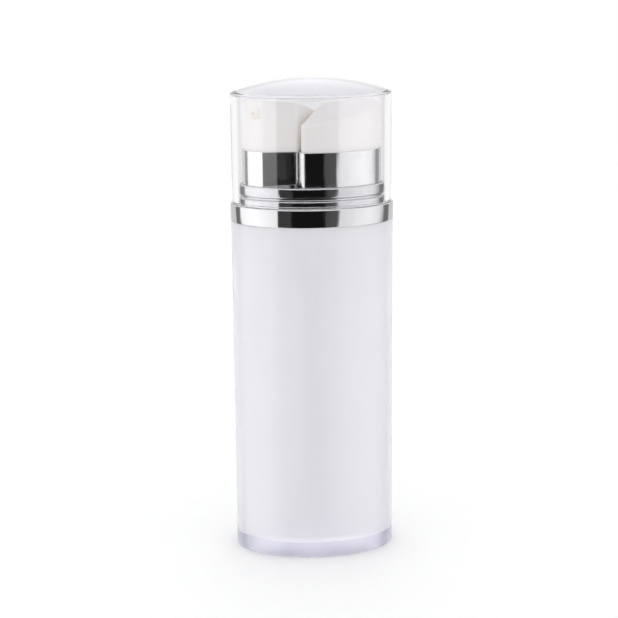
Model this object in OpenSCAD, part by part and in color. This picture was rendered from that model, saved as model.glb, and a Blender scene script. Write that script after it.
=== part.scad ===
// Dual chamber foundation bottle: an oval outer bottle holds two round vials side by side,
// each with its own airless pump and press head, under a plated shoulder and a clear overcap.
// The origin is the centre of the base, on the surface that the bottle stands on. +Z is up,
// +X is towards the right-hand vial, and -Y is the front.

/* [Outer bottle] */
// Length of the oval body, along X
body_length = 50; // [48:0.5:60]
// Depth of the oval body, along Y
body_depth = 32; // [31:0.5:42]
// Height of the outer bottle
body_height = 105.6; // [80:0.1:140]
// Thickness of the outer bottle's side wall
body_wall = 2.7; // [1.5:0.1:3]
// Thickness of the solid base
base_thickness = 5.3; // [3:0.1:10]
// Radius of the rounded bottom edge
base_edge_r = 0.8; // [0.3:0.1:2]

/* [Plated shoulder] */
// How far the plated ring stands proud of the outer bottle
ring_proud = 0.13; // [0:0.01:0.5]
// Height of the plated ring that sits on the bottle's rim
ring_height = 5.5; // [3:0.1:10]
// Height of the ribbed collar above the ring
collar_height = 6.1; // [4:0.1:8]
// Height of the lower rib, up to the groove between the ribs
rib_height = 1.6; // [1:0.1:2.5]
// Width of the groove between the two ribs
groove_width = 1.1; // [0.4:0.1:2]
// Depth of the groove between the two ribs
groove_depth = 0.5; // [0.1:0.05:0.6]
// Thickness of the collar around the head sleeves
collar_wall = 1.05; // [0.8:0.05:1.5]

/* [Overcap] */
// How far the overcap's side lies inside the outer bottle's side
cap_inset = 0.5; // [0:0.1:1]
// Thickness of the overcap's side wall
cap_wall = 2; // [1:0.1:2.5]
// Height of the overcap's straight side
cap_height = 33.6; // [30:0.1:45]
// Thickness of the crown at the overcap's edge
crown_edge = 0.5; // [0.3:0.1:3]
// Rise of the domed crown above its edge
crown_rise = 4.3; // [1:0.1:8]

/* [Vials and followers] */
// Outer radius of a vial
vial_r = 10; // [8.5:0.1:10.1]
// Thickness of a vial's wall
vial_wall = 1; // [0.6:0.1:1.4]
// Thickness of a vial's bottom
vial_floor = 1.6; // [1:0.1:3]
// Radius of a vial's rounded bottom edge
vial_edge_r = 3; // [1:0.1:5]
// Distance from the bottle's middle to a vial's axis
vial_offset = 10.3; // [10.2:0.1:11]
// Outer radius of a vial's neck
neck_r = 8; // [7:0.1:8.2]
// Height of the neck above the vial's sloping shoulder
neck_height = 11.5; // [9:0.1:14]
// Height of the vial's sloping shoulder
slope_height = 2.5; // [1:0.1:4]
// Radius of the air hole in a vial's bottom
vent_r = 0.8; // [0.4:0.1:1.5]
// Height of the follower piston
follower_height = 6; // [4:0.1:10]
// Thickness of the follower piston's lips
follower_wall = 1.1; // [0.6:0.1:2]

/* [Pumps] */
// Inner radius of the pump housing
barrel_r = 4.4; // [4:0.1:4.8]
// Thickness of the pump housing's wall
barrel_wall = 1; // [0.6:0.1:1.3]
// Depth of the pump housing below its flange
barrel_depth = 18.6; // [17:0.1:24]
// Thickness of the pump housing's flange and floor
barrel_plate = 1; // [0.6:0.1:1.5]
// Thickness of the neck gasket
gasket_thickness = 0.6; // [0.3:0.1:1]
// Radius of the inlet ball
ball_r = 3.2; // [2:0.1:3.2]
// Outer radius of the pump stem
stem_r = 2.4; // [1.6:0.1:2.6]
// Radius of the channel through the stem
stem_bore_r = 1; // [0.5:0.1:1.1]
// Height of the piston seal
seal_height = 3.4; // [2:0.1:3.6]
// Radius of the spring's wire
wire_r = 0.35; // [0.2:0.05:0.5]
// Number of turns of the return spring
spring_turns = 6; // [4:1:8]
// Thickness of the closure's skirt
closure_wall = 1.2; // [0.8:0.1:1.3]
// Thickness of the closure's top plate
closure_plate = 1.8; // [1:0.1:1.9]
// Height of the closure's skirt below its top plate
closure_skirt = 9.6; // [6:0.1:10]

/* [Press heads] */
// Travel of a press head
press_travel = 4; // [2:0.1:4]
// Height of a head sleeve above the collar
sleeve_show = 10.6; // [6:0.1:14]
// Thickness of a head sleeve
sleeve_wall = 0.7; // [0.4:0.1:0.8]
// Width of the gap between the two sleeves
seam_gap = 0.4; // [0.2:0.1:1]
// Slope of the curved seam between the heads, at the middle
seam_slope = 0.4; // [0.2:0.01:0.6]
// How strongly the seam bends towards its ends
seam_bend = 0.00118; // [0:0.0001:0.002]
// Radius of a sleeve's corners where the seam meets the outline
nose_r = 2.2; // [1.2:0.1:3]
// Distance of a sleeve's flat face from the bottle's middle
flat_y = 8.6; // [7:0.1:12]
// Thickness of a press head's wall
head_wall = 1.3; // [0.8:0.1:1.5]
// Gap between the overcap's ceiling and the left head's outer end, where it is highest
head_gap = 1.1; // [0.5:0.1:3]
// How much lower the right head sits than the left one
right_drop = 1.2; // [0:0.1:2]
// Rise of a head's top towards its outer end, in degrees
head_rise = 7.6; // [0:0.1:8]
// Fall of a head's top towards its nose at the bottle's middle, in degrees
head_fall = 11.9; // [0:0.1:15]
// Radius of the curve that makes the top steeper towards its nose
head_curve_r = 90; // [60:1:400]

/* [Nozzles] */
// Outer radius of a nozzle
nozzle_r = 1.85; // [1.4:0.05:2.2]
// Radius of a nozzle's rounded tip face
nozzle_tip_r = 1.15; // [0.9:0.05:1.3]
// Radius of the hole through a nozzle
nozzle_bore_r = 0.6; // [0.3:0.05:0.8]
// Length of a nozzle's tapered tip
nozzle_tip = 0.6; // [0.3:0.1:1]
// How far a nozzle stands out of its head
nozzle_show = 1.2; // [0.6:0.1:1.6]
// How far a nozzle's axis lies below its head's top at the bottle's middle
nozzle_drop = 1.1; // [0.5:0.1:4]
// Direction of a nozzle, in degrees from the front towards the outer end
nozzle_turn = 45; // [30:1:60]

/* [Fits] */
// Clearance of pieces that are pushed together and stay
press_clear = 0.1; // [0.05:0.01:0.2]
// Clearance of pieces that slide in each other
slide_clear = 0.05; // [0.02:0.01:0.08]
// Clearance of the sleeves in the collar, and of the overcap above the ring
rest_clear = 0.15; // [0.1:0.01:0.3]
// Free space that is kept at the end of a stroke
stop_clear = 0.4; // [0.2:0.1:1]

/* [Hidden] */
$fn = 96;

// Half sizes of the oval outlines, as [along X, along Y]
body_half = [body_length / 2, body_depth / 2];
cavity_half = inset(body_half, body_wall);
insert_half = inset(cavity_half, press_clear);
ring_half = inset(body_half, -ring_proud);
cap_half = inset(body_half, cap_inset);
cap_cavity_half = inset(cap_half, cap_wall);
collar_half = inset(cap_cavity_half, press_clear);
collar_bore_half = inset(collar_half, collar_wall);
sleeve_half = inset(collar_bore_half, rest_clear + 0.05);

// Heights
rim_z = body_height;
ring_top = rim_z + ring_height;
collar_top = ring_top + collar_height;
cap_bottom = ring_top + rest_clear;
cap_rim = ring_top + cap_height;
cap_ceiling = cap_rim - crown_edge;
closure_top = rim_z + closure_plate;
sleeve_bottom = closure_top + press_travel + stop_clear;
sleeve_top = collar_top + sleeve_show;
head_top = cap_ceiling - head_gap - (sleeve_half[0] - sleeve_wall) * tan(head_rise);
nozzle_z = head_top - nozzle_drop;

// Vials, from the closure's underside down
barrel_top = rim_z;
gasket_top = barrel_top - barrel_plate;
neck_top = gasket_top - gasket_thickness;
neck_bottom = neck_top - neck_height;
slope_bottom = neck_bottom - slope_height;
vial_bottom = base_thickness;
vial_bore = vial_r - vial_wall;
neck_bore = neck_r - vial_wall;
barrel_bottom = gasket_top - barrel_depth;
barrel_floor = barrel_bottom + barrel_plate;
follower_bottom = vial_bottom + vial_floor + slide_clear;
follower_r = vial_bore - slide_clear;

// Pump pieces
seat_r = ball_r * 0.75;
ball_z = barrel_floor + sqrt(pow(ball_r, 2) - pow(seat_r, 2)) + slide_clear;
spring_r = barrel_r - wire_r - 0.35;
seal_top = gasket_top - stop_clear - barrel_plate;
seal_bottom = seal_top - seal_height;
seal_r = barrel_r - slide_clear;
closure_hole_r = stem_r + slide_clear;
closure_bore = neck_r + press_clear;
closure_r = closure_bore + closure_wall;
closure_flange_r = closure_r + 0.5;
deck_hole_r = closure_r + press_clear;
deck_thickness = 4;

// Press heads
socket_wall = 1.3;
socket_lift = 1;
socket_depth = 7;
head_roof = 2;
nozzle_seat = 4;
nozzle_reach = min(oval_reach(inset(sleeve_half, sleeve_wall), vial_offset, nozzle_turn),
                   (flat_y - sleeve_wall) / cos(nozzle_turn)) + nozzle_show;
outline_steps = 24;
oval_points = 96;
edge_steps = 3;
dome_steps = 8;
reach = body_length;

function inset(half, t) = [half[0] - t, half[1] - t];
function seam_x(y) = seam_slope * y + seam_bend * pow(y, 3);

// Distance from a point on the X axis to an oval, in a direction that is turned from +Y
function oval_reach(half, x, turn) =
    let (a = pow(sin(turn) / half[0], 2) + pow(cos(turn) / half[1], 2),
         b = x * sin(turn) / pow(half[0], 2),
         c = pow(x / half[0], 2) - 1)
    (sqrt(b * b - a * c) - b) / a;

// One oval ring of points. A ring is [half length, half depth, height]
function oval_ring(ring) = [for (i = [0 : oval_points - 1])
    let (a = 360 * i / oval_points) [ring[0] * cos(a), ring[1] * sin(a), ring[2]]];
function at_height(half, z) = [half[0], half[1], z];

// Skin over a list of oval rings: outside upwards, inside downwards. A looped skin joins its
// last ring to its first, and any other has a flat oval at each end
module oval_skin(rings, looped = false) {
    n = oval_points;
    count = len(rings);
    bands = looped ? count : count - 1;
    sides = [for (k = [0 : bands - 1], i = [0 : n - 1])
        let (low = k * n, high = (k + 1) % count * n, j = (i + 1) % n)
            each [[low + i, high + i, high + j], [low + i, high + j, low + j]]];
    ends = looped ? [] : [[for (i = [0 : n - 1]) i], [for (i = [1 : n]) count * n - i]];
    polyhedron([for (ring = rings) each oval_ring(ring)], concat(sides, ends), convexity = 6);
}

// A disc profile for rotate_extrude, with its lower edge rounded
module rounded_disc(r, h, edge) {
    square([r - edge, h]);
    translate([0, edge]) square([r, h - edge]);
    translate([r - edge, edge]) intersection() {
        circle(r = edge);
        translate([0, -edge]) square([edge, edge]);
    }
}

module on_axis(side) {
    translate([side * vial_offset, 0, 0]) children();
}

module ring_shape(outer, inner, z0, z1) {
    translate([0, 0, z0]) difference() {
        cylinder(r = outer, h = z1 - z0);
        translate([0, 0, -1]) cylinder(r = inner, h = z1 - z0 + 2);
    }
}

// Outer bottle: a thick oval tube with a solid base and a rounded bottom edge
module outer_bottle() {
    edge = [for (k = [0 : edge_steps]) let (a = 90 * k / edge_steps)
        at_height(inset(body_half, base_edge_r * (1 - sin(a))), base_edge_r * (1 - cos(a)))];
    color([0.86, 0.85, 0.9]) oval_skin(concat(edge, [
        at_height(body_half, body_height),
        at_height(cavity_half, body_height),
        at_height(cavity_half, base_thickness)]));
}

// Plated shoulder: a ring on the bottle's rim and a collar with two ribs
module plated_shoulder() {
    groove_low = ring_top + rib_height;
    color([0.8, 0.8, 0.82]) oval_skin(looped = true, rings = [
        at_height(collar_bore_half, rim_z),
        at_height(ring_half, rim_z),
        at_height(ring_half, ring_top),
        at_height(collar_half, ring_top),
        at_height(collar_half, groove_low),
        at_height(inset(collar_half, groove_depth), groove_low + groove_width / 2),
        at_height(collar_half, groove_low + groove_width),
        at_height(collar_half, collar_top),
        at_height(collar_bore_half, collar_top)]);
}

// Shoulder insert: the deck in the bottle's mouth that both closures hang in
module shoulder_insert() {
    color([0.94, 0.94, 0.94]) difference() {
        oval_skin([at_height(insert_half, rim_z - deck_thickness), at_height(insert_half, rim_z)]);
        for (side = [-1, 1]) on_axis(side)
            translate([0, 0, rim_z - deck_thickness - 1])
                cylinder(r = deck_hole_r, h = deck_thickness + 2);
    }
}

// Overcap: a thick oval hood whose crown is a low solid dome, a cap of a stretched sphere
module overcap() {
    dome_r = (pow(cap_half[0], 2) + pow(crown_rise, 2)) / (2 * crown_rise);
    dome = [for (k = [0 : dome_steps])
        let (share = 1 - k / (dome_steps + 0.3), out = cap_half[0] * share)
            [out, cap_half[1] * share,
             cap_rim + crown_rise - dome_r + sqrt(pow(dome_r, 2) - pow(out, 2))]];
    color([0.88, 0.87, 0.92, 0.5]) oval_skin(concat([
        at_height(cap_cavity_half, cap_ceiling),
        at_height(cap_cavity_half, cap_bottom),
        at_height(cap_half, cap_bottom)], dome));
}

// Vial: a round bottle with a neck and an air hole in its bottom
module vial(side) {
    height = neck_top - vial_bottom;
    body_top = slope_bottom - vial_bottom;
    inner_edge = vial_edge_r - vial_wall;
    color([0.9, 0.9, 0.95]) on_axis(side) translate([0, 0, vial_bottom]) difference() {
        rotate_extrude() {
            rounded_disc(vial_r, body_top, vial_edge_r);
            polygon([[0, body_top - 0.01], [vial_r, body_top - 0.01], [vial_r, body_top],
                     [neck_r, body_top + slope_height], [neck_r, height], [0, height]]);
        }
        rotate_extrude() translate([0, vial_floor]) {
            rounded_disc(vial_bore, body_top - vial_floor, inner_edge);
            polygon([[0, body_top - vial_floor - 0.01], [vial_bore, body_top - vial_floor - 0.01],
                     [vial_bore, body_top - vial_floor],
                     [neck_bore, body_top - vial_floor + slope_height],
                     [neck_bore, height], [0, height]]);
        }
        translate([0, 0, -1]) cylinder(r = vent_r, h = vial_floor + 2);
    }
}

// Follower: a cup with two lips that rises behind the product as it is used
module follower(side) {
    edge = vial_edge_r - vial_wall + slide_clear;
    lip = follower_r - follower_wall;
    color([0.92, 0.92, 0.92]) on_axis(side) translate([0, 0, follower_bottom]) difference() {
        rotate_extrude() rounded_disc(follower_r, follower_height, edge);
        translate([0, 0, follower_height - follower_wall * 2])
            cylinder(r = lip, h = follower_height);
        translate([0, 0, -1]) cylinder(r = lip - edge, h = follower_wall + 1);
    }
}

// Pump housing: a barrel that hangs in the neck by its flange, with the inlet in its floor
module pump_housing(side) {
    color([0.95, 0.95, 0.95]) on_axis(side) difference() {
        union() {
            translate([0, 0, barrel_bottom])
                cylinder(r = barrel_r + barrel_wall, h = barrel_top - barrel_bottom);
            translate([0, 0, gasket_top]) cylinder(r = neck_r, h = barrel_plate);
        }
        translate([0, 0, barrel_floor]) cylinder(r = barrel_r, h = barrel_depth + 2);
        translate([0, 0, barrel_bottom - 1]) cylinder(r = seat_r, h = barrel_plate + 2);
    }
}

// Inlet ball: the check valve of the pump
module inlet_ball(side) {
    color([0.75, 0.75, 0.77]) on_axis(side) translate([0, 0, ball_z]) sphere(r = ball_r);
}

// Return spring: a coil between the barrel's floor and the piston seal
module return_spring(side) {
    low = barrel_floor + wire_r + slide_clear;
    high = seal_bottom - wire_r - slide_clear;
    color([0.7, 0.7, 0.72]) on_axis(side) translate([0, 0, low])
        linear_extrude(height = high - low, twist = -360 * spring_turns,
                       slices = 16 * spring_turns, $fn = 8)
            translate([spring_r, 0]) circle(r = wire_r);
}

// Piston seal: the sliding piston on the stem's foot
module piston_seal(side) {
    color([0.9, 0.9, 0.9]) on_axis(side)
        ring_shape(seal_r, stem_r, seal_bottom, seal_top);
}

// Pump stem: the hollow rod that carries the product up into the head
module pump_stem(side) {
    color([0.93, 0.93, 0.93]) on_axis(side)
        ring_shape(stem_r, stem_bore_r, seal_bottom,
                   sleeve_bottom + socket_lift + socket_depth);
}

// Neck gasket: seals the housing's flange on the vial's rim
module neck_gasket(side) {
    color([0.8, 0.8, 0.8]) on_axis(side)
        ring_shape(neck_r, barrel_r + barrel_wall + press_clear, neck_top, gasket_top);
}

// Closure: the cap that holds the pump on the neck and sits on the deck by its flange
module pump_closure(side) {
    flange = 0.8;
    color([0.93, 0.93, 0.93]) on_axis(side) difference() {
        union() {
            translate([0, 0, rim_z - closure_skirt])
                cylinder(r = closure_r, h = closure_skirt + closure_plate);
            translate([0, 0, rim_z]) cylinder(r = closure_flange_r, h = flange);
        }
        translate([0, 0, rim_z - closure_skirt - 1])
            cylinder(r = closure_bore, h = closure_skirt + 1);
        translate([0, 0, rim_z - 1]) cylinder(r = closure_hole_r, h = closure_plate + 2);
    }
}

// Plan outline of the right sleeve: its share of the oval, right of the curved seam
module sleeve_outline() {
    half_depth = sleeve_half[1] + 2;
    seam = [for (i = [0 : outline_steps])
            let (y = half_depth * (2 * i / outline_steps - 1)) [seam_x(y) + seam_gap / 2, y]];
    offset(r = nose_r) offset(delta = -nose_r) intersection() {
        scale([1, sleeve_half[1] / sleeve_half[0]]) circle(r = sleeve_half[0]);
        polygon(concat(seam, [[reach, half_depth], [reach, -half_depth]]));
        translate([-reach, -reach]) square([2 * reach, reach + flat_y]);
    }
}

// Everything below a head's sloping, slightly rounded top: a large drum lying along X
module below_top(lower = 0) {
    translate([0, 0, head_top])
        rotate([0, -head_rise, 0])
            translate([0, head_curve_r * sin(head_fall), -head_curve_r * cos(head_fall) - lower])
                rotate([0, 90, 0])
                    cylinder(r = head_curve_r, h = 2 * reach, center = true, $fn = 360);
}

// Rod along the right nozzle's channel, measured from the pump's axis
module nozzle_rod(r, from, to) {
    translate([vial_offset, 0, nozzle_z])
        rotate([0, 90, 90 - nozzle_turn])
            translate([0, 0, from]) cylinder(r = r, h = to - from);
}

// Press head, drawn as the right one: a hollow cap with the stem's socket and the nozzle's
// boss inside. Its skirt ends at bottom_z
module press_head_shape(bottom_z) {
    socket_r = stem_r + socket_wall;
    socket_z = bottom_z + socket_lift;
    roof_z = socket_z + socket_depth;
    difference() {
        intersection() {
            union() {
                difference() {
                    translate([0, 0, bottom_z]) linear_extrude(cap_height)
                        offset(delta = -sleeve_wall) sleeve_outline();
                    intersection() {
                        translate([0, 0, bottom_z - 1]) linear_extrude(cap_height)
                            offset(delta = -sleeve_wall - head_wall) sleeve_outline();
                        below_top(head_roof);
                    }
                }
                translate([vial_offset, 0, socket_z])
                    cylinder(r = socket_r, h = nozzle_z - socket_z);
                nozzle_rod(nozzle_r + 1, 0, nozzle_reach - nozzle_seat + 2);
            }
            below_top();
        }
        translate([vial_offset, 0, bottom_z - 1]) cylinder(r = stem_r, h = roof_z - bottom_z + 1);
        translate([vial_offset, 0, roof_z - 1]) cylinder(r = stem_bore_r, h = nozzle_z - roof_z + 1);
        nozzle_rod(nozzle_bore_r, 0, nozzle_reach);
        nozzle_rod(nozzle_r, nozzle_reach - nozzle_seat, nozzle_reach + nozzle_seat);
    }
}

// Nozzle, drawn as the right one: a short tube with a tapered tip, pushed into the head
module nozzle_shape() {
    straight = nozzle_seat - nozzle_tip;
    translate([vial_offset, 0, nozzle_z])
        rotate([0, 90, 90 - nozzle_turn])
            translate([0, 0, nozzle_reach - nozzle_seat]) difference() {
                union() {
                    cylinder(r = nozzle_r, h = straight);
                    translate([0, 0, straight])
                        cylinder(r1 = nozzle_r, r2 = nozzle_tip_r, h = nozzle_tip);
                }
                translate([0, 0, -1]) cylinder(r = nozzle_bore_r, h = nozzle_seat + 2);
            }
}

// The right head's pieces turned half round the bottle's middle are the left head's
module turned(side) {
    rotate([0, 0, side > 0 ? 0 : 180]) children();
}

function drop(side) = side > 0 ? right_drop : 0;

module press_head(side) {
    color([0.95, 0.94, 0.92]) turned(side) translate([0, 0, -drop(side)])
        press_head_shape(sleeve_bottom + drop(side));
}

module nozzle(side) {
    color([0.93, 0.9, 0.85]) turned(side) translate([0, 0, -drop(side)]) nozzle_shape();
}

// Head sleeve: a thin plated band around the head's lower half
module head_sleeve(side) {
    color([0.8, 0.8, 0.82]) turned(side) translate([0, 0, sleeve_bottom])
        linear_extrude(sleeve_top - sleeve_bottom) difference() {
            sleeve_outline();
            offset(delta = -sleeve_wall) sleeve_outline();
        }
}

outer_bottle();
plated_shoulder();
shoulder_insert();
overcap();
vial(-1);  // left_vial
vial(1);  // right_vial
follower(-1);  // left_follower
follower(1);  // right_follower
pump_housing(-1);  // left_pump_housing
pump_housing(1);  // right_pump_housing
inlet_ball(-1);  // left_inlet_ball
inlet_ball(1);  // right_inlet_ball
return_spring(-1);  // left_return_spring
return_spring(1);  // right_return_spring
piston_seal(-1);  // left_piston_seal
piston_seal(1);  // right_piston_seal
pump_stem(-1);  // left_pump_stem
pump_stem(1);  // right_pump_stem
neck_gasket(-1);  // left_neck_gasket
neck_gasket(1);  // right_neck_gasket
pump_closure(-1);  // left_pump_closure
pump_closure(1);  // right_pump_closure
press_head(-1);  // left_press_head
press_head(1);  // right_press_head
nozzle(-1);  // left_nozzle
nozzle(1);  // right_nozzle
head_sleeve(-1);  // left_head_sleeve
head_sleeve(1);  // right_head_sleeve
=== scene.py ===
# %% [markdown]
# # A dual chamber foundation bottle
# The bottle is an oval acrylic shell around two round vials. Each vial has its own pump, and
# the two press heads stand side by side under one clear overcap. The CAD model gives every
# size and every joint. This script gives each visible piece a smooth surface and a finish.
#
# Nothing here moves or resizes the CAD model: places and sizes are read from it.

# %% Load the CAD frame
import math

import bpy
import numpy as np
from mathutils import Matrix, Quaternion, Vector


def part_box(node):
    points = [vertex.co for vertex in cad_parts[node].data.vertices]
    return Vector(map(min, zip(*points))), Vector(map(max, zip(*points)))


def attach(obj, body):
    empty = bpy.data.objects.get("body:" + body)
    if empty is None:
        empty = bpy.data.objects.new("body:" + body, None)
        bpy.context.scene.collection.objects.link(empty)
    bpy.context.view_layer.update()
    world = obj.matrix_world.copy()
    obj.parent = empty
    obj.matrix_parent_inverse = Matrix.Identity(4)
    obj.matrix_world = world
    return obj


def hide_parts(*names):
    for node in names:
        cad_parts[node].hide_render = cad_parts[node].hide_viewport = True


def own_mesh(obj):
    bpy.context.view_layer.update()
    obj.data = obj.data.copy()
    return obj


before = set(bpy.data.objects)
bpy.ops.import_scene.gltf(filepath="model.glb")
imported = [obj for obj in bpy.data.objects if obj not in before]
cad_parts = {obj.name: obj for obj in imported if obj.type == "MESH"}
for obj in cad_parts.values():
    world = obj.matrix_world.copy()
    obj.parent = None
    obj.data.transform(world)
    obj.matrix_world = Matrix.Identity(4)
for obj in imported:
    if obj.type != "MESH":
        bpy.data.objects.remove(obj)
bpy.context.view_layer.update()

scene = bpy.context.scene
MM = 0.001
SIDES = ((-1, "left"), (1, "right"))

# %% [markdown]
# ## Read the driving sizes from the frame
# A maker would read these off the drawing: the oval's length and depth, and the height of each
# joint between pieces. All of them could be typed in again, but then a change to the CAD model
# would leave the surfaces behind. So each is read from its node's lowest and highest corners.
# Only what a box can't tell, such as a wall, is written here as a number of millimetres.

# %% Sizes
def corners(node):
    """Lowest and highest corner of a CAD node: metres over a millimetre, as two arrays."""
    low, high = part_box(node)
    return np.array(low) / MM, np.array(high) / MM


def half_size(node):
    """Half the length and half the depth of a node: highest less lowest corner, over two."""
    low, high = corners(node)
    return (high - low)[:2] / 2


BODY_HALF = half_size("outer_bottle")
CAP_HALF = half_size("overcap")
RING_HALF = half_size("plated_shoulder")
RIM_Z = corners("outer_bottle")[1][2]
COLLAR_TOP = corners("plated_shoulder")[1][2]
CAP_BOTTOM, CAP_TOP = corners("overcap")[0][2], corners("overcap")[1][2]
SLEEVE_LOW, SLEEVE_HIGH = corners("right_head_sleeve")
VIAL_LOW, VIAL_HIGH = corners("right_vial")
PUMP_X = (VIAL_LOW[0] + VIAL_HIGH[0]) / 2
VIAL_R = (VIAL_HIGH[0] - VIAL_LOW[0]) / 2

BODY_WALL = 2.7
BASE_THICKNESS = 5.3
RING_HEIGHT = 5.5
CAP_WALL = 2.0
CROWN_RISE = 4.3
CROWN_EDGE = 0.5
SLEEVE_WALL = 0.7
COLLAR_GAP = 0.1
print("pump axes at x =", round(PUMP_X, 2), "mm, vial radius", round(VIAL_R, 2), "mm")

# %% [markdown]
# ## Profiles
# Every moulded piece here is a wall that follows an outline, oval or round. It could be a
# subdivided box or a curve with a bevel, but neither gives an exact oval with exact edge radii.
# So each piece is a profile carried round its outline. The profile is a list of rows, up the
# outside and down the inside, and a rounded edge is a few more rows on an arc.

# %% Profiles
ROUND = np.linspace(0, 2 * np.pi, 384, endpoint=False)
print("points round each outline:", len(ROUND))


def arc(centre, radius, start, stop, steps=6):
    """Centre plus radius times (cosine, sine) of even angles between two, in degrees."""
    angle = np.radians(np.linspace(start, stop, steps + 1))
    return np.stack([centre[0] + radius * np.cos(angle), centre[1] + radius * np.sin(angle)], -1)


def oval_rows(half, profile):
    """Half sizes less the inset, times the share, times (cosine, sine), at each row's height."""
    inset, share, height = np.asarray(profile, float).T[..., None]
    x = (half[0] - inset) * share * np.cos(ROUND)
    y = (half[1] - inset) * share * np.sin(ROUND)
    return np.stack([x, y, np.broadcast_to(height, x.shape)], -1)


def round_rows(centre, profile):
    """The centre plus each row's radius times (cosine, sine), at the row's height."""
    radius, height = np.asarray(profile, float).T[..., None]
    x = centre[0] + radius * np.cos(ROUND)
    y = centre[1] + radius * np.sin(ROUND)
    return np.stack([x, y, np.broadcast_to(height, x.shape)], -1)


def column(points, share=1.0):
    """(inset, height) points as (inset, share, height) rows that all have one share."""
    points = np.asarray(points, float)
    return np.column_stack([points[:, 0], np.full(len(points), share), points[:, 1]])


def flat_rows(inset, height, shares):
    """Rows of a flat oval face: one inset and one height, and a share of the oval for each."""
    return np.array([[inset, share, height] for share in shares])


def climb_rows(inset, start, stop, count):
    """Rows of a straight wall: one inset, and even heights after the start, up to the stop."""
    return column([[inset, z] for z in np.linspace(start, stop, count)[1:]])


# %% [markdown]
# ## Skins
# A skin turns rows of points into a closed surface. The Screw modifier does this for a round
# piece, but rows of points in one array can also be oval, lean, and follow a seam.
# Neighbouring rows are joined by quads, and the ends are closed by a fan of triangles, or by
# joining the last row to the first where a wall has no end.

# %% Skins
def skin_faces(rows, columns, looped):
    """Quads from point i of a row to i + 1, then the same two of the next row, seen outside."""
    bands = rows if looped else rows - 1
    k, i = np.meshgrid(np.arange(bands), np.arange(columns), indexing="ij")
    low, high, j = k * columns, (k + 1) % rows * columns, (i + 1) % columns
    return np.stack([low + i, low + j, high + j, high + i], -1).reshape(-1, 4)


def skin(name, rows, looped=False, crease=40):
    """A mesh over rows of points, with edges sharper than crease degrees kept crisp.

    The faces join row to row. Looped, the last row joins the first. Otherwise a fan of
    triangles joins each end row to its own mean point.
    """
    count, columns = rows.shape[:2]
    points = rows.reshape(-1, 3)
    faces = skin_faces(count, columns, looped).tolist()
    if not looped:
        i = np.arange(columns)
        j = (i + 1) % columns
        first, last = len(points), len(points) + 1
        top = (count - 1) * columns
        faces += np.stack([np.full(columns, first), j, i], -1).tolist()
        faces += np.stack([top + i, top + j, np.full(columns, last)], -1).tolist()
        points = np.vstack([points, rows[0].mean(0), rows[-1].mean(0)])
    mesh = bpy.data.meshes.new(name)
    mesh.from_pydata((points * MM).tolist(), [], faces)
    mesh.shade_smooth()
    mesh.set_sharp_from_angle(angle=math.radians(crease))
    piece = bpy.data.objects.new(name, mesh)
    scene.collection.objects.link(piece)
    return piece


def faces_between(piece, material_number, *row_spans):
    """Gives bands of faces another material: a span's faces are its rows times the columns."""
    index = np.empty(len(piece.data.polygons), np.int32)
    piece.data.polygons.foreach_get("material_index", index)
    for first, last in row_spans:
        index[first * len(ROUND):last * len(ROUND)] = material_number
    piece.data.polygons.foreach_set("material_index", index)


def install(piece, body, slot, material, *nodes):
    """Rides a piece on its CAD body for the nodes it stands for, and prints its box's size."""
    if material:
        piece.data.materials.append(material)
    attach(piece, body)
    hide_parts(*nodes)
    low, high = np.array(piece.bound_box).min(0) / MM, np.array(piece.bound_box).max(0) / MM
    print(piece.name, "size, mm:", np.round(high - low, 2))
    return piece


print("quads between two rows:", len(skin_faces(2, len(ROUND), False)))


# %% [markdown]
# ## Shared surface effects
# Moulded plastic is never a perfect mirror: the mould leaves long, shallow ripples, hands
# leave areas that are a little less glossy, and the colour of the melt drifts. Each effect
# could be wired again in every material. It is one node group with named inputs instead, so
# a finish only says how strong the effect is, and all pieces share the same wiring.

# %% Effect groups
def new_group(name, inputs, outputs):
    """An empty shader group: a float socket per (name, default), a socket per (name, kind)."""
    group = bpy.data.node_groups.new(name, "ShaderNodeTree")
    for label, value in inputs:
        group.interface.new_socket(label, in_out="INPUT", socket_type="NodeSocketFloat")
        group.interface.items_tree[label].default_value = value
    for label, kind in outputs:
        group.interface.new_socket(label, in_out="OUTPUT", socket_type=kind)
    nodes = group.nodes
    return group, nodes.new("NodeGroupInput"), nodes.new("NodeGroupOutput")


def mould_ripple():
    """Normal: a bump whose height is noise of (x, y, z times Stretch) times Scale."""
    group, given, out = new_group(
        "mould_ripple",
        [("Scale", 60.0), ("Strength", 0.1), ("Stretch", 1.0)],
        [("Normal", "NodeSocketVector")])
    nodes, links = group.nodes, group.links
    where = nodes.new("ShaderNodeTexCoord")
    parts = nodes.new("ShaderNodeSeparateXYZ")
    tall = nodes.new("ShaderNodeMath")
    tall.operation = "MULTIPLY"
    place = nodes.new("ShaderNodeCombineXYZ")
    noise = nodes.new("ShaderNodeTexNoise")
    noise.inputs["Detail"].default_value = 1.5
    bump = nodes.new("ShaderNodeBump")
    bump.inputs["Distance"].default_value = 0.0004
    links.new(where.outputs["Object"], parts.inputs[0])
    links.new(parts.outputs["Z"], tall.inputs[0])
    links.new(given.outputs["Stretch"], tall.inputs[1])
    links.new(parts.outputs["X"], place.inputs["X"])
    links.new(parts.outputs["Y"], place.inputs["Y"])
    links.new(tall.outputs[0], place.inputs["Z"])
    links.new(place.outputs[0], noise.inputs["Vector"])
    links.new(given.outputs["Scale"], noise.inputs["Scale"])
    links.new(noise.outputs["Fac"], bump.inputs["Height"])
    links.new(given.outputs["Strength"], bump.inputs["Strength"])
    links.new(bump.outputs["Normal"], out.inputs["Normal"])
    return group


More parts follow.
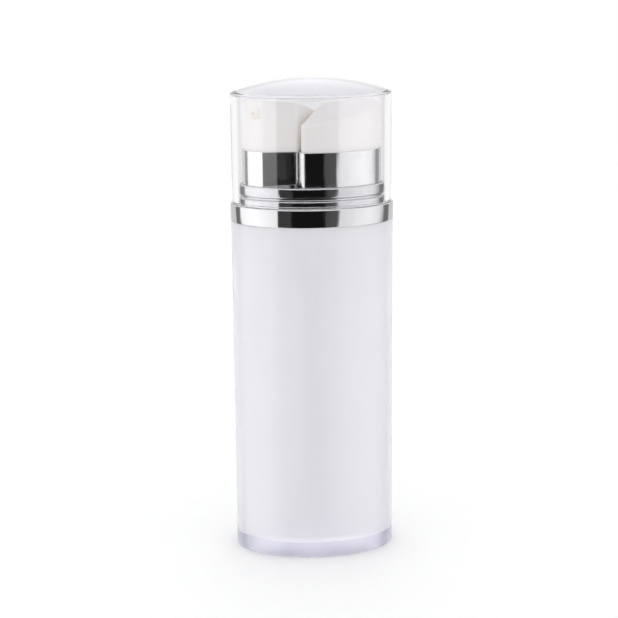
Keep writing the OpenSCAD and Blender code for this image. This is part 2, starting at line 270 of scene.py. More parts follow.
def handling():
    """Roughness: Low plus (High less Low) times noise, stretched from its middle third."""
    group, given, out = new_group(
        "handling",
        [("Scale", 40.0), ("Low", 0.05), ("High", 0.1)],
        [("Roughness", "NodeSocketFloat")])
    nodes, links = group.nodes, group.links
    where = nodes.new("ShaderNodeTexCoord")
    noise = nodes.new("ShaderNodeTexNoise")
    noise.inputs["Detail"].default_value = 4.0
    drift = nodes.new("ShaderNodeMapRange")
    drift.inputs["From Min"].default_value = 0.35
    drift.inputs["From Max"].default_value = 0.65
    links.new(where.outputs["Object"], noise.inputs["Vector"])
    links.new(given.outputs["Scale"], noise.inputs["Scale"])
    links.new(noise.outputs["Fac"], drift.inputs["Value"])
    links.new(given.outputs["Low"], drift.inputs["To Min"])
    links.new(given.outputs["High"], drift.inputs["To Max"])
    links.new(drift.outputs["Result"], out.inputs["Roughness"])
    return group


def mottle():
    """Colour: Tint mixed towards Deep Tint by noise times Amount, in soft clouds."""
    group, given, out = new_group(
        "mottle", [("Scale", 25.0), ("Amount", 0.5)], [("Color", "NodeSocketColor")])
    for label in ("Tint", "Deep Tint"):
        group.interface.new_socket(label, in_out="INPUT", socket_type="NodeSocketColor")
    nodes, links = group.nodes, group.links
    where = nodes.new("ShaderNodeTexCoord")
    noise = nodes.new("ShaderNodeTexNoise")
    noise.inputs["Detail"].default_value = 2.0
    amount = nodes.new("ShaderNodeMath")
    amount.operation = "MULTIPLY"
    mix = nodes.new("ShaderNodeMix")
    mix.data_type = "RGBA"
    links.new(where.outputs["Object"], noise.inputs["Vector"])
    links.new(given.outputs["Scale"], noise.inputs["Scale"])
    links.new(noise.outputs["Fac"], amount.inputs[0])
    links.new(given.outputs["Amount"], amount.inputs[1])
    links.new(amount.outputs[0], mix.inputs["Factor"])
    links.new(given.outputs["Tint"], mix.inputs["A"])
    links.new(given.outputs["Deep Tint"], mix.inputs["B"])
    links.new(mix.outputs["Result"], out.inputs["Color"])
    return group


RIPPLE, HANDLING, MOTTLE = mould_ripple(), handling(), mottle()
print("effect groups:", [g.name for g in (RIPPLE, HANDLING, MOTTLE)])

# %% [markdown]
# ## Finishes
# Every finish here is a smooth plastic or metal, so one function makes them all: a Principled
# BSDF whose colour, roughness and normal come from the three shared groups. What is the same
# all over a surface, such as how much light passes through, is a plain number on the shader,
# because an exported model only keeps it there.

# %% Finish maker
def finish_of(name, tint, deep, rough, ripple, mottle_scale=25, stretch=1.0, **plain):
    """A material: mottled colour of two tints, roughness from low to high, and rippled normal.

    rough is (low, high), ripple is (scale, strength), and plain sets the shader's own sockets.
    """
    material = bpy.data.materials.new(name)
    material.use_nodes = True
    nodes, links = material.node_tree.nodes, material.node_tree.links
    shader = nodes["Principled BSDF"]

    def placed(group, **values):
        """A group node with its inputs set: an underscore in a name stands for a space."""
        node = nodes.new("ShaderNodeGroup")
        node.node_tree = group
        for label, value in values.items():
            node.inputs[label.replace("_", " ")].default_value = value
        return node

    colour = placed(MOTTLE, Scale=mottle_scale, Amount=1.0, Tint=(*tint, 1), Deep_Tint=(*deep, 1))
    gloss = placed(HANDLING, Scale=45.0, Low=rough[0], High=rough[1])
    wave = placed(RIPPLE, Scale=ripple[0], Strength=ripple[1], Stretch=stretch)
    links.new(colour.outputs["Color"], shader.inputs["Base Color"])
    links.new(gloss.outputs["Roughness"], shader.inputs["Roughness"])
    links.new(wave.outputs["Normal"], shader.inputs["Normal"])
    for label, value in plain.items():
        shader.inputs[label.replace("_", " ")].default_value = value
    return material


print("a finish uses", RIPPLE.name, HANDLING.name, "and", MOTTLE.name)

# %% [markdown]
# ## Acrylic finishes
# The bottle and the overcap are acrylic with a faint lavender tint. It could be pure glass, but
# the real bottle is milky: part of its light passes through and part is scattered back. So the
# Transmission Weight lies below one. The base is thicker, so its tint is deeper, and the
# cavity is frosted, which blurs the vials behind it. Only the overcap's wall is truly clear.

# %% Acrylic finishes
ACRYLIC = finish_of("lavender_acrylic", (0.962, 0.955, 0.995), (0.955, 0.948, 0.99),
                    (0.24, 0.27), (50, 0.02), Transmission_Weight=0.6, IOR=1.49)
THICK_BASE = finish_of("thick_base_acrylic", (0.80, 0.79, 0.90), (0.79, 0.78, 0.89),
                       (0.22, 0.26), (50, 0.02), Transmission_Weight=0.75, IOR=1.49)
CAP_ACRYLIC = finish_of("cap_acrylic", (0.932, 0.927, 0.94), (0.924, 0.918, 0.934),
                        (0.0, 0.01), (40, 0.004), Transmission_Weight=1.0, IOR=1.49)
CAP_HAZE = finish_of("cap_ceiling_haze", (0.91, 0.905, 0.945), (0.90, 0.895, 0.94),
                     (0.5, 0.55), (300, 0.03), Transmission_Weight=0.6, IOR=1.49)
FROSTED = finish_of("frosted_cavity", (0.985, 0.982, 0.992), (0.98, 0.976, 0.99),
                    (0.35, 0.4), (300, 0.03), Transmission_Weight=0.5, IOR=1.49)
MILKY = finish_of("milky_vial_plastic", (0.985, 0.982, 0.99), (0.98, 0.976, 0.985),
                  (0.4, 0.5), (80, 0.03), Transmission_Weight=0.15, IOR=1.45)
print("acrylic and vial finishes:", len(bpy.data.materials))

# %% [markdown]
# ## Plated and opaque finishes
# The shoulder and sleeves are plastic plated with bright metal. Polished steel would mirror in
# straight lines. Plating follows its moulding, so these two have the strongest ripple, long
# in height. Their colour is darker than bare chrome, because the lights around are brighter
# than white. The sleeves' plating is a lighter copy of the shoulder's: painted light, standing
# in for the veil of light that the overcap's wall lays over them. The heads are satin white,
# and the nozzles a warmer white of another melt.

# %% Plated and opaque finishes
PLATING = finish_of("shoulder_plating", (0.50, 0.50, 0.51), (0.47, 0.47, 0.48),
                    (0.015, 0.04), (220, 0.3), stretch=0.35, Metallic=1.0)
# painted light: the shoulder's plating made lighter, for the overcap's veil of light over the
# sleeves
SLEEVE_PLATING_PAINTED_VEIL = finish_of("sleeve_plating_painted_veil", (0.62, 0.62, 0.62), (0.58, 0.58, 0.58),
                           (0.02, 0.05), (260, 0.3), stretch=0.2, Metallic=1.0)
HEAD_WHITE = finish_of("satin_white", (0.975, 0.96, 0.93), (0.96, 0.945, 0.915),
                       (0.32, 0.4), (500, 0.02))
NOZZLE_WHITE = finish_of("warm_white", (0.96, 0.93, 0.87), (0.94, 0.90, 0.83),
                         (0.35, 0.42), (500, 0.02))
NATURAL = finish_of("natural_plastic", (0.90, 0.90, 0.89), (0.87, 0.87, 0.86),
                    (0.4, 0.5), (300, 0.04))
FOAM = finish_of("gasket_foam", (0.75, 0.75, 0.75), (0.68, 0.68, 0.68),
                 (0.8, 0.9), (900, 0.4), mottle_scale=400)
STEEL = finish_of("drawn_steel", (0.72, 0.72, 0.73), (0.66, 0.66, 0.68),
                  (0.15, 0.25), (400, 0.05), Metallic=1.0)
print("finishes in all:", len(bpy.data.materials))

# %% [markdown]
# ## Outer bottle
# A thick oval tube of injection-moulded acrylic with a solid base. It could be a solid oval
# with a Boolean cut for the cavity, but light bends at both walls, so both need clean faces.
# Its profile runs from the middle of the base, round the bottom edge, up the side, over the
# rim and down into the cavity. The cavity's faces are frosted, those below its floor get the
# deeper tint of thick acrylic, and the rest are polished.

# %% Outer bottle
def outer_bottle():
    """An oval tube: an arc at the foot, at both sides of the rim and at the cavity's floor.

    The two end fans come after all the quads, the foot's first and the cavity's last.
    """
    edge, rim, fillet = 0.8, 0.25, 1.2
    floor_z, shoulder_z = BASE_THICKNESS + fillet, RIM_Z - rim
    foot = np.vstack([
        flat_rows(edge, 0, (0.3, 0.6, 0.85)),
        column(arc((edge, edge), edge, 270, 180)),
        climb_rows(0, edge, BASE_THICKNESS, 5)])
    outside = np.vstack([
        foot,
        climb_rows(0, BASE_THICKNESS, shoulder_z, 14)[:-1],
        column(arc((rim, shoulder_z), rim, 180, 90, 3)),
        column(arc((BODY_WALL - rim, shoulder_z), rim, 90, 0, 3))])
    inside = np.vstack([
        climb_rows(BODY_WALL, shoulder_z, floor_z, 14),
        column(arc((BODY_WALL + fillet, floor_z), fillet, 180, 270))[1:],
        flat_rows(BODY_WALL + fillet, BASE_THICKNESS, (0.8, 0.5, 0.2))])
    piece = skin("bottle_shell", oval_rows(BODY_HALF, np.vstack([outside, inside])))
    for material in (ACRYLIC, FROSTED, THICK_BASE):
        piece.data.materials.append(material)
    last = len(outside) + len(inside) - 1
    faces_between(piece, 1, (len(outside) - 1, last), (last + 1, last + 2))
    faces_between(piece, 2, (0, len(foot) - 1), (last, last + 1))
    return piece


install(outer_bottle(), "bottle", "frosted_acrylic", None, "outer_bottle")

# %% [markdown]
# ## Vials
# Round bottles with a rounded bottom edge, a sloping shoulder and a neck. The Spin tool could
# turn them on a lathe. The same profile of (radius, height) rows as for the other pieces keeps
# the wall even. The profile goes up the outside and down the inside, and joins up in the air
# hole in the floor, through which air follows the piston.

# %% Vials
def vial(side, word):
    """A lathe shape: radius 1 at the air hole, an arc of the bottom edge, wall, slope, neck."""
    wall, floor, edge, neck_r, slope, neck = 1.0, 1.6, 3.0, 8.0, 2.5, 11.5
    bottom, top = VIAL_LOW[2], VIAL_HIGH[2]
    bend = top - neck - slope
    outside = np.vstack([
        [[1.0, bottom]],
        arc((VIAL_R - edge, bottom + edge), edge, 270, 360, 10),
        [[VIAL_R, z] for z in np.linspace(bottom + edge, bend, 12)[1:]],
        [[neck_r, bend + slope], [neck_r, top - 0.2]],
        arc((neck_r - 0.2, top - 0.2), 0.2, 0, 90, 3)])
    inner = edge - wall
    inside = np.vstack([
        [[neck_r - wall, top], [neck_r - wall, bend + slope], [VIAL_R - wall, bend]],
        arc((VIAL_R - edge, bottom + floor + inner), inner, 360, 270, 8),
        [[1.0, bottom + floor]]])
    rows = round_rows((side * PUMP_X, 0), np.vstack([outside, inside]))
    return skin(f"{word}_vial_shell", rows, looped=True)


for side, word in SIDES:
    install(vial(side, word), "bottle", "milky_vial", MILKY, f"{word}_vial")

# %% [markdown]
# ## Plated shoulder
# A ring stands on the bottle's rim, and a narrower collar with two soft ribs rises inside it.
# The ribs are where the overcap snaps on. Sharp corners with a Bevel modifier would look the
# same from afar. But plating shows every edge as a line of light, and that line gets wider
# with the edge's radius, so each edge is an arc of its own size. The ribs belly out a little,
# as a moulding does, and the groove between them has the shape of half a sine wave.

# %% Plated shoulder
BELLY = 0.04


def plated_shoulder():
    """The ring's side and top, two bellied ribs with a half-sine groove, and the bore.

    The groove's inset is the rib's inset plus its depth times the sine of half a turn.
    """
    ring_top = RIM_Z + RING_HEIGHT
    edge, crest = 0.4, 0.5
    foot = CAP_HALF[0] - CAP_WALL - COLLAR_GAP
    step = RING_HALF[0] - foot
    bore = step + 1.05
    lower_rib, groove, depth = 2.0, 1.2, 0.55
    low = ring_top + lower_rib

    def rib(z0, z1):
        """The step's inset plus belly, times the height, times one less a half sine."""
        share = np.linspace(0, 1, 9)
        belly = BELLY * (z1 - z0) * (1 - np.sin(np.pi * share))
        return np.column_stack([step + belly, z0 + (z1 - z0) * share])

    lower, upper = rib(ring_top + 0.1, low), rib(low + groove, COLLAR_TOP - crest)
    share = np.linspace(0, 1, 9)[1:-1]
    inset = lower[-1, 0] + (upper[0, 0] - lower[-1, 0]) * share + depth * np.sin(np.pi * share)
    dip = np.column_stack([inset, low + groove * share])
    profile = np.vstack([
        [[bore, RIM_Z], [edge / 2, RIM_Z]],
        arc((edge / 2, RIM_Z + edge / 2), edge / 2, 270, 180, 3),
        arc((edge, ring_top - edge), edge, 180, 90, 5),
        [[step - 0.5, ring_top], [step + 0.1, ring_top + 0.05]],
        lower, dip, upper,
        arc((upper[-1, 0] + crest, COLLAR_TOP - crest), crest, 180, 90, 8),
        [[bore - 0.05, COLLAR_TOP], [bore, COLLAR_TOP - 0.05]]])
    return skin("shoulder_plating", oval_rows(RING_HALF, column(profile)), looped=True, crease=50)


install(plated_shoulder(), "bottle", "plated", PLATING, "plated_shoulder")

# %% [markdown]
# ## Overcap
# The hood is clear acrylic with a solid domed crown. The crown could be a scaled half sphere,
# but a cap of a large sphere, squeezed to the oval, meets the wall at the right angle. The
# crown's flat underside isn't polished, which makes the crown pale and even while the wall
# below it is clear, so those faces have a hazy finish. So does the thin line at the crown's
# edge, where the two halves of the mould meet.

# %% Overcap
def overcap():
    """The inside up to down, the lip, the wall, and a dome: drum radius less a circle's fall.

    The drum's radius is half the length squared plus the rise squared, over twice the rise.
    """
    rim = CAP_TOP - CROWN_RISE
    ceiling = rim - CROWN_EDGE
    fillet, lip, crease = 0.3, 0.3, 0.2
    drum = (CAP_HALF[0] ** 2 + CROWN_RISE ** 2) / (2 * CROWN_RISE)
    share = np.linspace(1, 0.04, 26)
    dome = np.column_stack([
        np.zeros_like(share), share,
        CAP_TOP - drum + np.sqrt(drum ** 2 - (CAP_HALF[0] * share) ** 2)])
    dome[0] = [crease, 1, rim + crease / 3]
    underside = np.vstack([
        flat_rows(CAP_WALL + fillet, ceiling, (0.1, 0.4, 0.7, 0.9)),
        column(arc((CAP_WALL + fillet, ceiling - fillet), fillet, 90, 180))])
    profile = np.vstack([
        underside,
        climb_rows(CAP_WALL, ceiling - fillet, CAP_BOTTOM + lip, 8),
        column(arc((CAP_WALL - lip, CAP_BOTTOM + lip), lip, 360, 270, 4)),
        column(arc((lip, CAP_BOTTOM + lip), lip, 270, 180, 4)),
        climb_rows(0, CAP_BOTTOM + lip, rim - crease, 8),
        dome])
    piece = skin("overcap_hood", oval_rows(CAP_HALF, profile), crease=30)
    piece.data.materials.append(CAP_ACRYLIC)
    piece.data.materials.append(CAP_HAZE)
    line, last = len(profile) - len(dome) - 1, len(profile) - 1
    faces_between(piece, 1, (0, len(underside) - 1), (line, line + 1), (last, last + 1))
    return piece


install(overcap(), "cap", "clear_acrylic", None, "overcap")

# %% [markdown]
# ## The outline that the heads and sleeves share
# Seen from above, each sleeve is its share of an oval: cut by an S-shaped seam on one side and
# by a flat on the other, with rounded corners. A 2D curve with filleted corners could be drawn
# by hand. Here the corners come from a rolling disc: its centre stays a nose radius inside
# each of the three curves, and the outline is the furthest that the disc reaches in every
# direction from the pump's axis. So the corners stay right when a curve changes.

# %% Curves and reach
SEAM_SLOPE, SEAM_BEND, SEAM_GAP, NOSE_R = 0.4, 0.00118, 0.4, 2.2
SLEEVE_HALF = np.array([SLEEVE_HIGH[0], -SLEEVE_LOW[1]])
FLAT_Y = SLEEVE_HIGH[1]
print("sleeves' oval, half length and half depth, mm:", np.round(SLEEVE_HALF, 2))


def inward(points, distance):
    """Each point plus the distance times the curve's direction, turned left by a quarter."""
    along = np.gradient(points, axis=0)
    along /= np.linalg.norm(along, axis=1, keepdims=True)
    return points + distance * np.column_stack([-along[:, 1], along[:, 0]])


def reach_of(points, angle):
    """Distance from the pump's axis to a curve: its length read off at each bearing."""
    gap = points - [PUMP_X, 0]
    bearing = np.unwrap(np.arctan2(gap[:, 1], gap[:, 0]))
    turns = angle + 2 * np.pi * np.arange(-2, 3)[:, None]
    far = np.interp(turns, bearing, np.hypot(gap[:, 0], gap[:, 1]), left=1e3, right=1e3)
    return far.min(0)


# %% Sleeve outline
def sleeve_outline(columns=len(ROUND)):
    """The right sleeve's outline, counter-clockwise, as evenly spaced points.

    The disc's centre reaches as far as the nearest of the three curves moved inward. Along
    each ray, a disc reaches its centre's distance ahead plus the root of the nose radius
    squared less its distance beside squared, and the furthest of them is the outline.
    """
    turn = np.linspace(-0.2, 2 * np.pi + 0.2, 4000)
    oval = np.column_stack([SLEEVE_HALF[0] * np.cos(turn), SLEEVE_HALF[1] * np.sin(turn)])
    y = np.linspace(1, -1, 4000) * (SLEEVE_HALF[1] + 2)
    seam = np.column_stack([SEAM_SLOPE * y + SEAM_BEND * y ** 3 + SEAM_GAP / 2, y])
    x = np.linspace(60, -60, 4000)
    flat = np.column_stack([x, np.full_like(x, FLAT_Y)])
    dense = np.linspace(0, 2 * np.pi, 3000, endpoint=False)
    centre_reach = np.min([reach_of(inward(c, NOSE_R), dense) for c in (oval, seam, flat)], axis=0)
    centres = centre_reach[:, None] * np.column_stack([np.cos(dense), np.sin(dense)])
    angle = np.linspace(0, 2 * np.pi, 1500, endpoint=False)
    ray = np.column_stack([np.cos(angle), np.sin(angle)])
    ahead = ray @ centres.T
    beside = np.abs(ray @ np.column_stack([-centres[:, 1], centres[:, 0]]).T)
    bulge = np.sqrt(np.clip(NOSE_R ** 2 - beside ** 2, 0, None))
    disc = np.where(beside < NOSE_R, ahead + bulge, 0)
    outline = disc.max(1)[:, None] * ray + [PUMP_X, 0]
    closed = np.vstack([outline, outline[:1]])
    length = np.concatenate([[0], np.cumsum(np.linalg.norm(np.diff(closed, axis=0), axis=1))])
    even = np.linspace(0, length[-1], columns, endpoint=False)
    return np.column_stack([np.interp(even, length, closed[:, k]) for k in (0, 1)])


def inset_outline(outline, distance):
    """A closed outline moved inwards by a distance, with its ends wrapped for the slope."""
    wrapped = np.vstack([outline[-2:], outline, outline[:2]])
    return inward(wrapped, distance)[2:-2]


OUTLINE = sleeve_outline()
print("sleeve outline:", np.round(OUTLINE.min(0), 2), np.round(OUTLINE.max(0), 2))

# %% [markdown]
# ## Head sleeves
# A thin plated band round each head's lower half. A Solidify modifier on one outline would
# give the wall, but not the soft edges that catch the light, so the band is a small profile
# carried round the outline. The left one is the right one turned half round the bottle's
# middle, so one function makes both. A mirror would be wrong, as the seam is S-shaped.

# %% Head sleeves
def turned(rows, side):
    """X and Y times the side: the right-hand rows, or the same rows turned half round."""
    return rows * [side, side, 1]


def head_sleeve(side, word):
    """A closed band: each profile row is the outline moved inwards by its inset, at its height.

    The profile is four arcs joined by straight walls: outer, top, inner and bottom.
    """
    low, high, edge = SLEEVE_LOW[2], SLEEVE_HIGH[2], 0.18
    profile = np.vstack([
        arc((edge, low + edge), edge, 270, 180, 3),
        [[0, z] for z in np.linspace(low + edge, high - edge, 8)[1:-1]],
        arc((edge, high - edge), edge, 180, 90, 4),
        arc((SLEEVE_WALL - edge, high - edge), edge, 90, 0, 4),
        [[SLEEVE_WALL, low + edge]],
        arc((SLEEVE_WALL - edge, low + edge), edge, 360, 270, 3)[1:]])
    rows = [np.column_stack([inset_outline(OUTLINE, inset), np.full(len(OUTLINE), z)])
            for inset, z in profile]
    return skin(f"{word}_sleeve_band", turned(np.array(rows), side), looped=True, crease=50)


for side, word in SIDES:
    # the sleeves get the lighter plating, which paints in the overcap's veil of light
    install(head_sleeve(side, word), f"{word}_pump", "plated", SLEEVE_PLATING_PAINTED_VEIL,
            f"{word}_head_sleeve")

# %% [markdown]
# ## Press heads
# A head is a satin white cap that a finger pushes down, with a top that slopes to its nose.
# It could be sculpted, but both heads need the same slope, one of them a little lower. The
# top is part of a large drum lying along X and tipped up towards the outer end, so the height
# at any point has a formula.

# %% Height of a head's top
HEAD_RISE, HEAD_FALL, HEAD_CURVE_R = math.radians(7.6), math.radians(11.9), 90.0
HEAD_GAP, RIGHT_DROP = 1.1, 1.2
HEAD_WALL, HEAD_ROOF = 1.3, 2.0
HEAD_TOP = (CAP_TOP - CROWN_RISE - CROWN_EDGE - HEAD_GAP
            - (SLEEVE_HALF[0] - SLEEVE_WALL) * math.tan(HEAD_RISE))


def head_height(x, y):
    """The head's top: height at the axis, plus x times the rise's slope, plus the drum's bow.

    The bow is the root of the drum's radius squared less the distance from its line squared,
    less the drum's own height there, over the cosine of the rise.
    """
    lean = HEAD_CURVE_R * math.sin(HEAD_FALL)
    bow = np.sqrt(HEAD_CURVE_R ** 2 - (y - lean) ** 2) - HEAD_CURVE_R * math.cos(HEAD_FALL)
    return HEAD_TOP + x * math.tan(HEAD_RISE) + bow / math.cos(HEAD_RISE)


print("height at the pump's axis, mm:", round(float(head_height(PUMP_X, 0)), 2))

# %% [markdown]
# The skin starts in the middle of the hollow underside, comes down inside the wall, runs up
# the outside, over a soft edge, and in to the middle of the top. Every row is the sleeve's
# outline, moved inwards or drawn together towards the middle.

# %% Press heads
def press_head(side, word):
    """A hollow cap: rows at the bottom, shares of the height at the side, an arc, the top.

    Soft edge: at each angle a row lies soft times one less the cosine inwards, and soft
    times one less the sine below the top.
    """
    drop = RIGHT_DROP if side > 0 else 0
    bottom, soft = SLEEVE_LOW[2], 0.7
    middle = np.array([PUMP_X + 1.5, -1.0])

    def at_top(outline, below=0.0):
        """The outline at the height of the top, less the drop and a distance below."""
        return np.column_stack([outline, head_height(*outline.T) - drop - below])

    def level(inset, z):
        """The outline, a sleeve's wall and an inset inwards, at one height."""
        outline = inset_outline(OUTLINE, SLEEVE_WALL + inset)
        return np.column_stack([outline, np.full(len(outline), z)])

    def rising(outline, share, below):
        """The outline at a share of the way from the bottom up to the top's height."""
        top = at_top(outline, below)
        top[:, 2] = bottom + share * (top[:, 2] - bottom)
        return top

    side_line = inset_outline(OUTLINE, SLEEVE_WALL)
    rows = [level(0.1, bottom), level(0, bottom + 0.1)]
    rows += [rising(side_line, share, soft) for share in np.linspace(0, 1, 12)[1:-1]]
    for angle in np.radians(np.linspace(0, 90, 8)):
        outline = inset_outline(side_line, soft * (1 - math.cos(angle)))
        rows.append(at_top(outline, soft * (1 - math.sin(angle))))
    rim = inset_outline(side_line, soft)
    rows += [at_top(middle + (rim - middle) * share) for share in np.linspace(1, 0.05, 24)[1:]]
    under = [at_top(middle + (inset_outline(side_line, HEAD_WALL) - middle) * share, HEAD_ROOF)
             for share in np.linspace(0.05, 1, 8)]
    under.append(level(HEAD_WALL, bottom + 0.1))
    return skin(f"{word}_head_top", turned(np.array(under + rows), side), crease=60)


for side, word in SIDES:
    install(press_head(side, word), f"{word}_pump", "head_white", HEAD_WHITE,
            f"{word}_press_head")

# %% [markdown]
# ## Nozzles
# A short tube with a rounded tip, moulded in a warmer white and pushed into the head. An
# upright lathe shape could be rotated as an object, but a finished piece keeps its object
# unturned, so that patterns in its material stay put. So the rows themselves are turned:
# along the tube, across it and up are three directions, and each point is a sum of them.

# %% Nozzles
def nozzle(side, word):
    """A lathe shape laid flat: height along the heading, X across it and Y straight up."""
    low, high = corners(f"{word}_nozzle")
    axis_z = (low[2] + high[2]) / 2
    radius = (high[2] - low[2]) / 2
    reach, seat, tip_r, bore_r, tip = 10.41, 4.0, 1.15, 0.6, 0.6
    heading = math.radians(45)
    start = reach - seat
    profile = np.vstack([
        [[bore_r, start + 0.3], [radius, start + 0.3], [radius, reach - tip - 0.15]],
        arc((radius - 0.35, reach - tip - 0.1), 0.35, 0, 50, 4),
        arc((tip_r - 0.15, reach - 0.15), 0.15, 40, 90, 3),
        [[bore_r + 0.1, reach]],
        arc((bore_r + 0.1, reach - 0.1), 0.1, 90, 180, 3)])
    rows = round_rows((0, 0), profile)
    out = np.array([math.sin(heading), math.cos(heading), 0])
    across = np.array([-math.cos(heading), math.sin(heading), 0])
    up = np.array([0, 0, 1.0])
    placed = (rows[..., 2:] * out + rows[..., :1] * across + rows[..., 1:2] * up
              + [PUMP_X, 0, axis_z])
    return skin(f"{word}_nozzle_tube", turned(placed, side), looped=True, crease=50)


for side, word in SIDES:
    install(nozzle(side, word), f"{word}_pump", "nozzle_white", NOZZLE_WHITE, f"{word}_nozzle")

# %% [markdown]
# ## Return springs
# A coil of steel wire under each piston pushes the head back up. A curve with a round bevel
# would make it, but this one is a mesh. The CAD coil has few sides, so a finer one stands
# for it: rings of points about a line that turns as it rises.

# %% Return springs
WIRE_R, TURNS, STROKE = 0.35, 6, 4.0
RINGS_PER_TURN, WIRE_SIDES = 48, 12


def return_spring(side, word):
    """A wire about a helix: each ring is cosine times outward plus sine times its cross.

    The helix is the coil's radius times (cosine, sine) of the turn, rising by climb for each
    radian. Its direction is that line's slope, and the rings lie square to it.
    """
    low, high = corners(f"{word}_return_spring")
    coil_r = (high[1] - low[1]) / 2 - WIRE_R
    turn = np.linspace(0, 2 * np.pi * TURNS, RINGS_PER_TURN * TURNS + 1)[:, None, None]
    climb = (high[2] - low[2] - 2 * WIRE_R) / (2 * np.pi * TURNS)
    around = np.linspace(0, 2 * np.pi, WIRE_SIDES, endpoint=False)[None, :, None]
    flat = np.zeros_like(turn)
    outward = np.concatenate([np.cos(turn), np.sin(turn), flat], -1)
    ahead = np.concatenate([-coil_r * np.sin(turn), coil_r * np.cos(turn), flat + climb], -1)
    ahead /= np.linalg.norm(ahead, axis=-1, keepdims=True)
    line = coil_r * outward + [side * PUMP_X, 0, low[2] + WIRE_R]
    line[..., 2:] += climb * turn
    ring = np.cos(around) * outward + np.sin(around) * np.cross(ahead, outward)
    return skin(f"{word}_spring_coil", line + WIRE_R * ring)


for side, word in SIDES:
    coil = install(return_spring(side, word), "bottle", "steel", STEEL, f"{word}_return_spring")
    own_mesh(coil)

# %% [markdown]
# ## Pump parts
# The pistons, housings, stems, balls and gaskets are turned shapes that hardly show through
# the frosted bottle. They could be rebuilt like the rest, but their CAD shape is right
# already, so each keeps it and only gets its finish.

# %% Finishes of the inner pieces
INNER = {
    "shoulder_insert": NATURAL, "follower": NATURAL, "pump_housing": NATURAL,
    "inlet_ball": STEEL, "piston_seal": NATURAL,
    "pump_stem": NATURAL, "neck_gasket": FOAM, "pump_closure": NATURAL,
}
for name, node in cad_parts.items():
    for part, material in INNER.items():
        if name.endswith(part):
            node.data.materials.clear()
            node.data.materials.append(material)
            print(name, "gets", material.name)

# %% [markdown]
# ## Floor
# The bottle stands on a pale sweep that has no visible end. A curved backdrop would do it, but
# a flat floor whose alpha falls with the distance from the bottle fades into the white room
# without a horizon. It lies a little below the base, so the two faces don't coincide, and
# mirrors and clear walls don't see it, so that its edge never shows in them.

# %% Floor
FLOOR_HALF, FLOOR_DROP = 2.0, 0.05 * MM
FADE_FROM, FADE_TO = 0.12, 0.9


def floor():
    """A square sheet: alpha is one near the middle, and falls smoothly to none further out."""
    mesh = bpy.data.meshes.new("floor")
    corner = np.array([(-1, -1), (1, -1), (1, 1), (-1, 1)]) * FLOOR_HALF
    mesh.from_pydata([(x, y, -FLOOR_DROP) for x, y in corner], [], [(0, 1, 2, 3)])
    plane = bpy.data.objects.new("floor", mesh)
    scene.collection.objects.link(plane)
    material = bpy.data.materials.new("pale_floor")
    material.use_nodes = True
    nodes, links = material.node_tree.nodes, material.node_tree.links
    shader = nodes["Principled BSDF"]
    shader.inputs["Base Color"].default_value = (0.9, 0.905, 0.9, 1)
    shader.inputs["Roughness"].default_value = 0.6
    where = nodes.new("ShaderNodeTexCoord")
    far = nodes.new("ShaderNodeVectorMath")
    far.operation = "LENGTH"
    fade = nodes.new("ShaderNodeMapRange")
    fade.interpolation_type = "SMOOTHSTEP"
    fade.inputs["From Min"].default_value = FADE_FROM
    fade.inputs["From Max"].default_value = FADE_TO
    fade.inputs["To Min"].default_value = 1.0
    fade.inputs["To Max"].default_value = 0.0
    links.new(where.outputs["Object"], far.inputs[0])
    links.new(far.outputs["Value"], fade.inputs["Value"])
    links.new(fade.outputs["Result"], shader.inputs["Alpha"])
    mesh.materials.append(material)
    plane.visible_glossy = False
    plane.visible_transmission = False


floor()
print("floor fades from", FADE_FROM, "to", FADE_TO, "m")

# %% [markdown]
# ## Room
# Chrome shows its surroundings, so the room matters: large soft lights on both sides, a dark
# gap in front where the camera stands, and a thin dark gap at each end of the side lights.
# Area lights and cards could stand around the bottle. Here they are painted on the world as a
# ramp of light by direction, in degrees from the camera's side, so nothing casts a hard
# shadow. The ramp gives way to an even light above. Rays that go straight on through clear
# walls, or that have been scattered, see plain white, as if the room were evenly lit.

# %% Room
CAMERA_SIDE = math.radians(-3.7)
ROOM = [(-180, 1.0), (-150, 1.0), (-118, 1.1), (-112, 0.3), (-99, 0.3), (-94, 1.85), (-62, 2.1),
        (-46, 1.9), (-31, 1.65), (-29.5, 0.08), (-15.5, 0.085), (-14, 0.013), (16.5, 0.013),
        (18.5, 0.125), (29, 0.16), (32, 1.35), (50, 1.6), (68, 1.75), (86, 1.55), (98, 0.9),
        (104, 0.3), (119, 0.3), (125, 1.1), (150, 1.0), (180, 1.0)]
TOP_LIGHT, TOP_FROM, TOP_FULL = 1.6, 0.3, 0.5


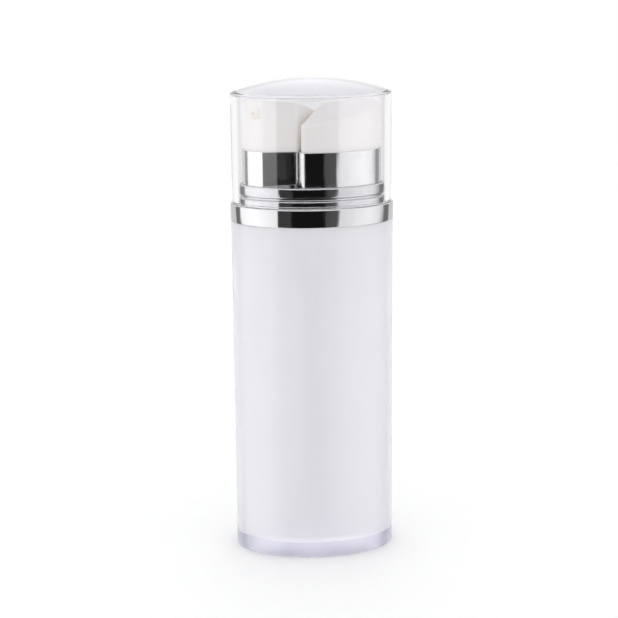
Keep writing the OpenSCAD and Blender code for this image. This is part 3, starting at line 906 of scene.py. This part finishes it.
def room():
    """World light: the ramp at the direction's bearing, mixed to the top light by its height.

    The bearing is the arctangent of x over minus y, less the camera's side. Camera rays, rays
    after a diffuse bounce, and rays that have only passed through, see white instead.
    """
    world = bpy.data.worlds.new("studio")
    scene.world = world
    world.use_nodes = True
    nodes, links = world.node_tree.nodes, world.node_tree.links
    back = nodes["Background"]

    def math_node(operation, *values):
        """A Math node's output: numbers set its inputs, and sockets are linked to them."""
        node = nodes.new("ShaderNodeMath")
        node.operation = operation
        for k, value in enumerate(values):
            if isinstance(value, (int, float)):
                node.inputs[k].default_value = value
            else:
                links.new(value, node.inputs[k])
        return node.outputs[0]

    where = nodes.new("ShaderNodeTexCoord")
    parts = nodes.new("ShaderNodeSeparateXYZ")
    links.new(where.outputs["Generated"], parts.inputs[0])
    x, y, z = (parts.outputs[k] for k in "XYZ")
    bearing = math_node("ARCTAN2", x, math_node("MULTIPLY", y, -1.0))
    turn = math_node("WRAP", math_node("SUBTRACT", bearing, CAMERA_SIDE), math.pi, -math.pi)
    share = math_node("MULTIPLY_ADD", turn, 0.5 / math.pi, 0.5)
    ramp = nodes.new("ShaderNodeValToRGB")
    links.new(share, ramp.inputs["Fac"])
    stops = ramp.color_ramp.elements
    for angle, light in ROOM:
        stop = stops.new(angle / 360 + 0.5)
        stop.color = (light, light, light, 1)
    stops.remove(stops[0])
    stops.remove(stops[len(stops) - 1])
    lift = nodes.new("ShaderNodeMapRange")
    lift.interpolation_type = "SMOOTHSTEP"
    lift.inputs["From Min"].default_value = TOP_FROM
    lift.inputs["From Max"].default_value = TOP_FULL
    links.new(z, lift.inputs["Value"])
    light = nodes.new("ShaderNodeMix")
    light.data_type = "RGBA"
    links.new(lift.outputs["Result"], light.inputs["Factor"])
    links.new(ramp.outputs["Color"], light.inputs["A"])
    light.inputs["B"].default_value = (TOP_LIGHT, TOP_LIGHT, TOP_LIGHT, 1)
    path = nodes.new("ShaderNodeLightPath")
    shown = nodes.new("ShaderNodeMix")
    shown.data_type = "RGBA"
    scattered = math_node("MINIMUM", path.outputs["Diffuse Depth"], 1.0)
    through = math_node("SUBTRACT", path.outputs["Is Transmission Ray"],
                        path.outputs["Glossy Depth"])
    seen = math_node("MAXIMUM", path.outputs["Is Camera Ray"], through)
    plain = math_node("MAXIMUM", seen, scattered)
    links.new(plain, shown.inputs["Factor"])
    links.new(light.outputs["Result"], shown.inputs["A"])
    shown.inputs["B"].default_value = (1, 1, 1, 1)
    links.new(shown.outputs["Result"], back.inputs["Color"])


room()
print("room: stops round the horizon:", len(ROOM))

# %% [markdown]
# ## How light is followed
# Clear walls stand one behind another here: the overcap's wall, the bottle, the frosted cavity
# and the vials. With few bounces the light ends inside them and they turn grey, so each kind
# of bounce gets more. Blurring of glossy paths is off, as it dims what lies behind acrylic.

# %% Light paths
scene.view_settings.view_transform = "Standard"
scene.cycles.blur_glossy = 0.0
scene.cycles.max_bounces = 24
scene.cycles.diffuse_bounces = 12
scene.cycles.glossy_bounces = 16
scene.cycles.transmission_bounces = 24
print("bounces:", scene.cycles.max_bounces)

# %% [markdown]
# ## Camera
# The bottle is seen from half a metre away, slightly from above and a little from the left,
# with a long lens, which keeps its sides nearly upright. A Track To constraint could aim it.
# Here its direction is turned by its swing and pitch, so that nothing has to be kept aimed.

# %% Camera
def camera():
    """Place and aim: the forward direction pitched down, then both turned by the swing.

    It looks 13.8 degrees down from the front, with a roll of half a degree.
    """
    swing, pitch, roll = 0.0619, 0.2409, 0.0092
    shift, distance, height = -1.194, 491.14, 197.49
    data = bpy.data.cameras.new("camera")
    data.lens, data.sensor_width = 94.09, 36.0
    data.clip_start, data.clip_end = 0.01, 50
    view = bpy.data.objects.new("camera", data)
    scene.collection.objects.link(view)
    place = Vector((shift, -distance, height)) * MM
    place.rotate(Quaternion((0, 0, 1), -swing))
    aim = Vector((0, math.cos(pitch), -math.sin(pitch)))
    aim.rotate(Quaternion((0, 0, 1), -swing))
    view.location = place
    view.rotation_mode = "QUATERNION"
    view.rotation_quaternion = aim.to_track_quat("-Z", "Y") @ Quaternion((0, 0, 1), -roll)
    scene.camera = view
    print("camera at, mm:", [round(v / MM, 1) for v in view.location])


camera()
